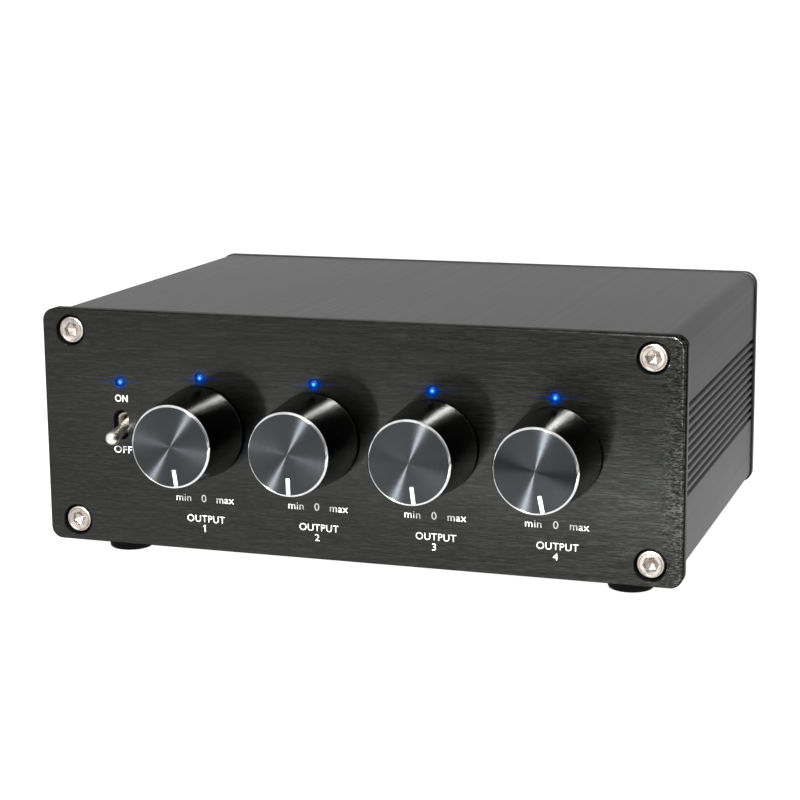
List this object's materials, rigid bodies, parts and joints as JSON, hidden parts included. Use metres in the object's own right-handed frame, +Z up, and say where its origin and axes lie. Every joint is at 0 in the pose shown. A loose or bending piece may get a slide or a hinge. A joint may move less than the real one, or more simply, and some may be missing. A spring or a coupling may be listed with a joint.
{
  "type": "audio splitter box",
  "caption": "Low metal box with a row of volume knobs, lamps and a toggle switch on its front, and phono jacks with a power inlet on its back.",
  "frame": {"origin": "on the surface under the feet, below the middle of the whole width and depth", "axes": "+X to the right seen from the front, +Y to the back, +Z up"},
  "size_m": [0.1386, 0.1186, 0.0545],
  "materials": {
    "brushed_panel": "brushed and anodised black",
    "case_grey": "satin blasted and anodised black",
    "screw_steel": "bright",
    "foot_rubber": "matt",
    "knob_black": "anodised black with a bright cut rim",
    "black_plastic": "moulded",
    "white_paint": "filled line",
    "plated_steel": "plated",
    "switch_chrome": "polished",
    "lamp_blue": "clear blue, lit",
    "board_green": "solder mask",
    "capacitor_sleeve": "shrink sleeve",
    "resistor_lacquer": "lacquer",
    "dark_screw": "black zinc",
    "gold_plate": "gold plated",
    "insert_white": "moulded",
    "insert_red": "moulded"
  },
  "bodies": {
    "case": {"front_panel": "brushed_panel", "case_shell": "case_grey", "rear_panel": "case_grey", "front_screws": "screw_steel", "rear_screws": "screw_steel", "foot_front_left": "foot_rubber", "foot_front_right": "foot_rubber", "foot_rear_left": "foot_rubber", "foot_rear_right": "foot_rubber", "pot_1_body": "plated_steel", "pot_2_body": "plated_steel", "pot_3_body": "plated_steel", "pot_4_body": "plated_steel", "pot_nuts": "plated_steel", "pot_washers": "plated_steel", "switch_housing": "black_plastic", "switch_bushing": "switch_chrome", "switch_pins": "plated_steel", "lamp_power": "lamp_blue", "lamp_1": "lamp_blue", "lamp_2": "lamp_blue", "lamp_3": "lamp_blue", "lamp_4": "lamp_blue", "lamp_leads": "plated_steel", "main_board": "board_green", "chip_sockets": "black_plastic", "amplifier_chips": "black_plastic", "coupling_capacitors": "capacitor_sleeve", "supply_capacitors": "capacitor_sleeve", "voltage_regulator": "black_plastic", "resistors": "resistor_lacquer", "jack_housings": "black_plastic", "jack_screws": "dark_screw", "jack_sleeves": "gold_plate", "jack_inserts_white": "insert_white", "jack_inserts_red": "insert_red", "jack_contacts": "gold_plate", "inlet_housing": "black_plastic", "inlet_pin": "plated_steel"},
    "knob_1": {"knob_1_shell": "knob_black", "knob_1_core": "black_plastic", "knob_1_pointer": "white_paint", "pot_1_shaft": "plated_steel"},
    "knob_2": {"knob_2_shell": "knob_black", "knob_2_core": "black_plastic", "knob_2_pointer": "white_paint", "pot_2_shaft": "plated_steel"},
    "knob_3": {"knob_3_shell": "knob_black", "knob_3_core": "black_plastic", "knob_3_pointer": "white_paint", "pot_3_shaft": "plated_steel"},
    "knob_4": {"knob_4_shell": "knob_black", "knob_4_core": "black_plastic", "knob_4_pointer": "white_paint", "pot_4_shaft": "plated_steel"},
    "lever": {"switch_lever": "switch_chrome"}
  },
  "joints": [
    {"name": "volume_1", "type": "hinge", "parent": "case", "child": "knob_1", "pos_m": [-0.0331, -0.04375, 0.02975], "axis": [0, 1, 0], "range_deg": [0, 300]},
    {"name": "volume_2", "type": "hinge", "parent": "case", "child": "knob_2", "pos_m": [-0.0076, -0.04375, 0.02975], "axis": [0, 1, 0], "range_deg": [0, 300]},
    {"name": "volume_3", "type": "hinge", "parent": "case", "child": "knob_3", "pos_m": [0.0179, -0.04375, 0.02975], "axis": [0, 1, 0], "range_deg": [0, 300]},
    {"name": "volume_4", "type": "hinge", "parent": "case", "child": "knob_4", "pos_m": [0.0434, -0.04375, 0.02975], "axis": [0, 1, 0], "range_deg": [0, 300]},
    {"name": "power_toggle", "type": "hinge", "parent": "case", "child": "lever", "pos_m": [-0.0515, -0.03825, 0.03015], "axis": [-1, 0, 0], "range_deg": [0, 23]}
  ]
}
